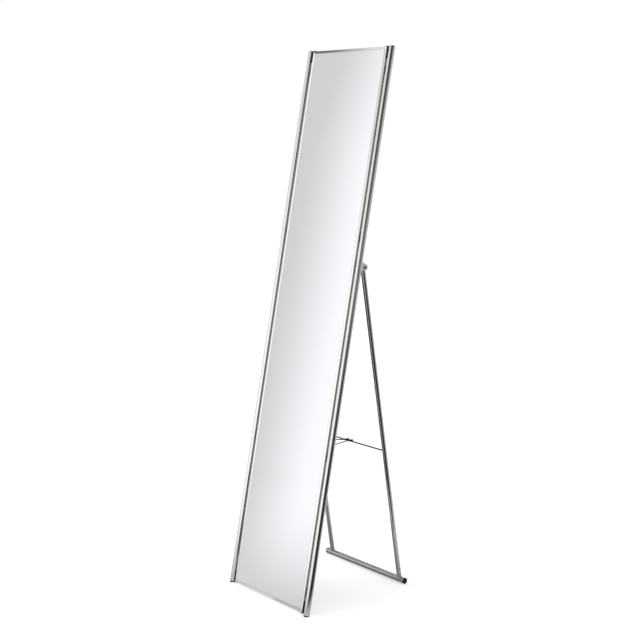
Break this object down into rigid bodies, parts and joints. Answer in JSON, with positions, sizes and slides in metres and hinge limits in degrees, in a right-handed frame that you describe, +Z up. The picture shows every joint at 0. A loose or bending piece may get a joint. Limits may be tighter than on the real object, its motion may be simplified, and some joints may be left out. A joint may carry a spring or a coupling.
{
  "type": "free-standing floor mirror",
  "caption": "Tall narrow bevelled mirror between round chromed side tubes, leaning on a folding rear leg frame that a hooked wire stay holds open.",
  "frame": {"origin": "on the floor, at the middle of the bounding box in X and Y", "axes": "+Z up; +X to the right seen from the front; the mirror faces -Y and the leg frame stands towards +Y"},
  "size_m": [0.341, 0.3728, 1.4728],
  "materials": {
    "mirror": "silvered glass, bevelled",
    "chrome": "bright chromed steel",
    "zinc": "zinc-plated steel",
    "black_plastic": "moulded black plastic",
    "rubber": "black rubber",
    "board": "dark brown hardboard",
    "foam": "white foam sheet",
    "nylon": "natural nylon"
  },
  "bodies": {
    "mirror": {"mirror_glass": "mirror", "foam_sheet": "foam", "backing_board": "board", "stile_left": "chrome", "stile_right": "chrome", "top_rail": "chrome", "upper_rail": "chrome", "stay_rail": "chrome", "bottom_rail": "chrome", "corner_clip_top_left": "black_plastic", "corner_clip_top_right": "black_plastic", "corner_clip_bottom_left": "black_plastic", "corner_clip_bottom_right": "black_plastic", "top_cap_left": "chrome", "top_cap_right": "chrome", "foot_plug_left": "rubber", "foot_plug_right": "rubber", "hinge_lug_left": "chrome", "hinge_lug_right": "chrome", "pivot_bolt_left": "zinc", "pivot_bolt_right": "zinc", "pivot_washer_left": "nylon", "pivot_washer_right": "nylon", "pivot_nut_left": "zinc", "pivot_nut_right": "zinc", "stay_saddle_left": "zinc", "stay_saddle_right": "zinc", "board_screws": "zinc", "saddle_screws": "zinc"},
    "leg_frame": {"leg_left": "chrome", "leg_right": "chrome", "leg_plug_left": "black_plastic", "leg_plug_right": "black_plastic", "cross_rod": "chrome", "foot_bar": "chrome", "foot_cap_left": "black_plastic", "foot_cap_right": "black_plastic"},
    "stay": {"stay_wire": "chrome", "stay_hook_left": "black_plastic", "stay_hook_right": "black_plastic"}
  },
  "joints": [
    {"name": "leg_fold", "type": "hinge", "parent": "mirror", "child": "leg_frame", "pos_m": [0, 0.03171, 0.90136], "axis": [-1, 0, 0], "range_deg": [0, 20.4]},
    {"name": "stay_fold", "type": "hinge", "parent": "mirror", "child": "stay", "pos_m": [0, -0.08816, 0.41029], "axis": [1, 0, 0], "range_deg": [0, 83]}
  ]
}
